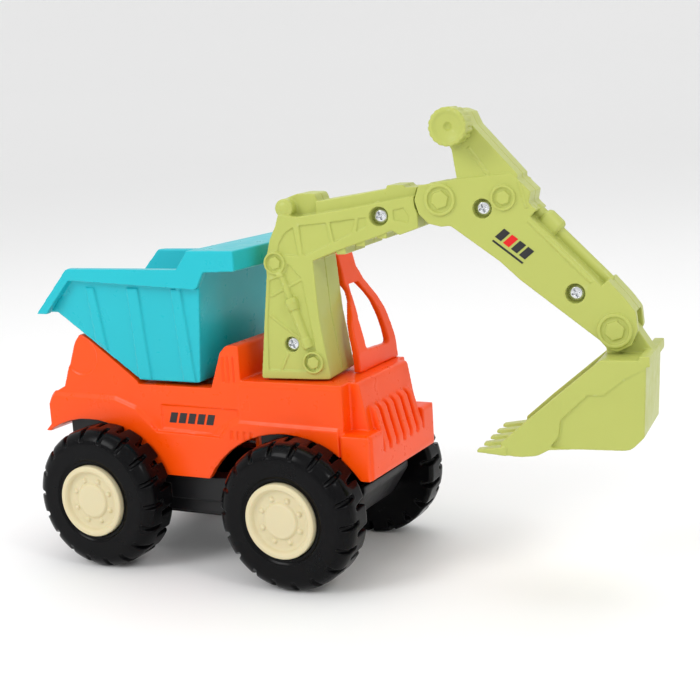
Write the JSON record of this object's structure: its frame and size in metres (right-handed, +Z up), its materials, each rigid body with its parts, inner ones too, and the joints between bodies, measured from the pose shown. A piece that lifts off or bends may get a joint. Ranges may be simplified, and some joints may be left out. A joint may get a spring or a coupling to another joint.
{
  "type": "toy dump truck with excavator arm",
  "caption": "Toy construction truck with a tipping hopper behind, and a swivelling digging arm with a lever and bucket on the cab deck.",
  "frame": {"origin": "middle of the bounding box at floor level, under the wheels", "axes": "+X forward towards the bucket, +Y to the truck's left, +Z up"},
  "size_m": [0.256, 0.095, 0.1783],
  "materials": {
    "orange_plastic": "smooth moulded",
    "cyan_plastic": "smooth moulded",
    "olive_plastic": "smooth moulded",
    "black_plastic": "satin moulded",
    "tyre_plastic": "shiny moulded hollow tyre",
    "cream_plastic": "smooth moulded",
    "screw_steel": "bright plated",
    "axle_steel": "drawn rod"
  },
  "bodies": {
    "truck": {"body_shell": "orange_plastic", "windscreen_frame": "orange_plastic", "chassis_base": "black_plastic", "chassis_screw_1": "screw_steel", "chassis_screw_2": "screw_steel", "chassis_screw_3": "screw_steel", "chassis_screw_4": "screw_steel", "hopper_hinge_pin": "screw_steel"},
    "front_wheelset": {"front_axle": "axle_steel", "front_left_tyre": "tyre_plastic", "front_right_tyre": "tyre_plastic", "front_left_hub": "cream_plastic", "front_right_hub": "cream_plastic"},
    "rear_wheelset": {"rear_axle": "axle_steel", "rear_left_tyre": "tyre_plastic", "rear_right_tyre": "tyre_plastic", "rear_left_hub": "cream_plastic", "rear_right_hub": "cream_plastic"},
    "hopper_body": {"hopper": "cyan_plastic"},
    "boom": {"boom_right_half": "olive_plastic", "boom_left_half": "olive_plastic", "swivel_hub": "olive_plastic", "swivel_washer": "screw_steel", "swivel_screw": "screw_steel", "boom_screw_1": "screw_steel", "boom_screw_2": "screw_steel"},
    "stick": {"stick_right_half": "olive_plastic", "stick_left_half": "olive_plastic", "stick_screw_1": "screw_steel", "stick_screw_2": "screw_steel"},
    "knob_body": {"lever_knob": "olive_plastic"},
    "bucket_body": {"bucket": "olive_plastic"}
  },
  "joints": [
    {"name": "front_axle_spin", "type": "hinge", "parent": "truck", "child": "front_wheelset", "pos_m": [-0.00422, 0, 0.029], "axis": [0, 1, 0], "continuous": true},
    {"name": "rear_axle_spin", "type": "hinge", "parent": "truck", "child": "rear_wheelset", "pos_m": [-0.09222, 0, 0.029], "axis": [0, 1, 0], "continuous": true},
    {"name": "hopper_tip", "type": "hinge", "parent": "truck", "child": "hopper_body", "pos_m": [-0.10422, 0, 0.0855], "axis": [0, -1, 0], "range_deg": [0, 50]},
    {"name": "arm_swivel", "type": "hinge", "parent": "truck", "child": "boom", "pos_m": [-0.00772, -0.011, 0.08], "axis": [0, 0, 1], "range_deg": [-12, 40]},
    {"name": "elbow", "type": "hinge", "parent": "boom", "child": "stick", "pos_m": [0.05135, -0.00479, 0.1453], "axis": [-0.1045, 0.9945, 0], "range_deg": [-40, 12]},
    {"name": "bucket_wrist", "type": "hinge", "parent": "stick", "child": "bucket_body", "pos_m": [0.11291, 0.00168, 0.0979], "axis": [-0.1045, 0.9945, 0], "range_deg": [-45, 18]},
    {"name": "knob_turn", "type": "hinge", "parent": "stick", "child": "knob_body", "pos_m": [0.05811, -0.00408, 0.1714], "axis": [-0.1045, 0.9945, 0], "continuous": true}
  ]
}
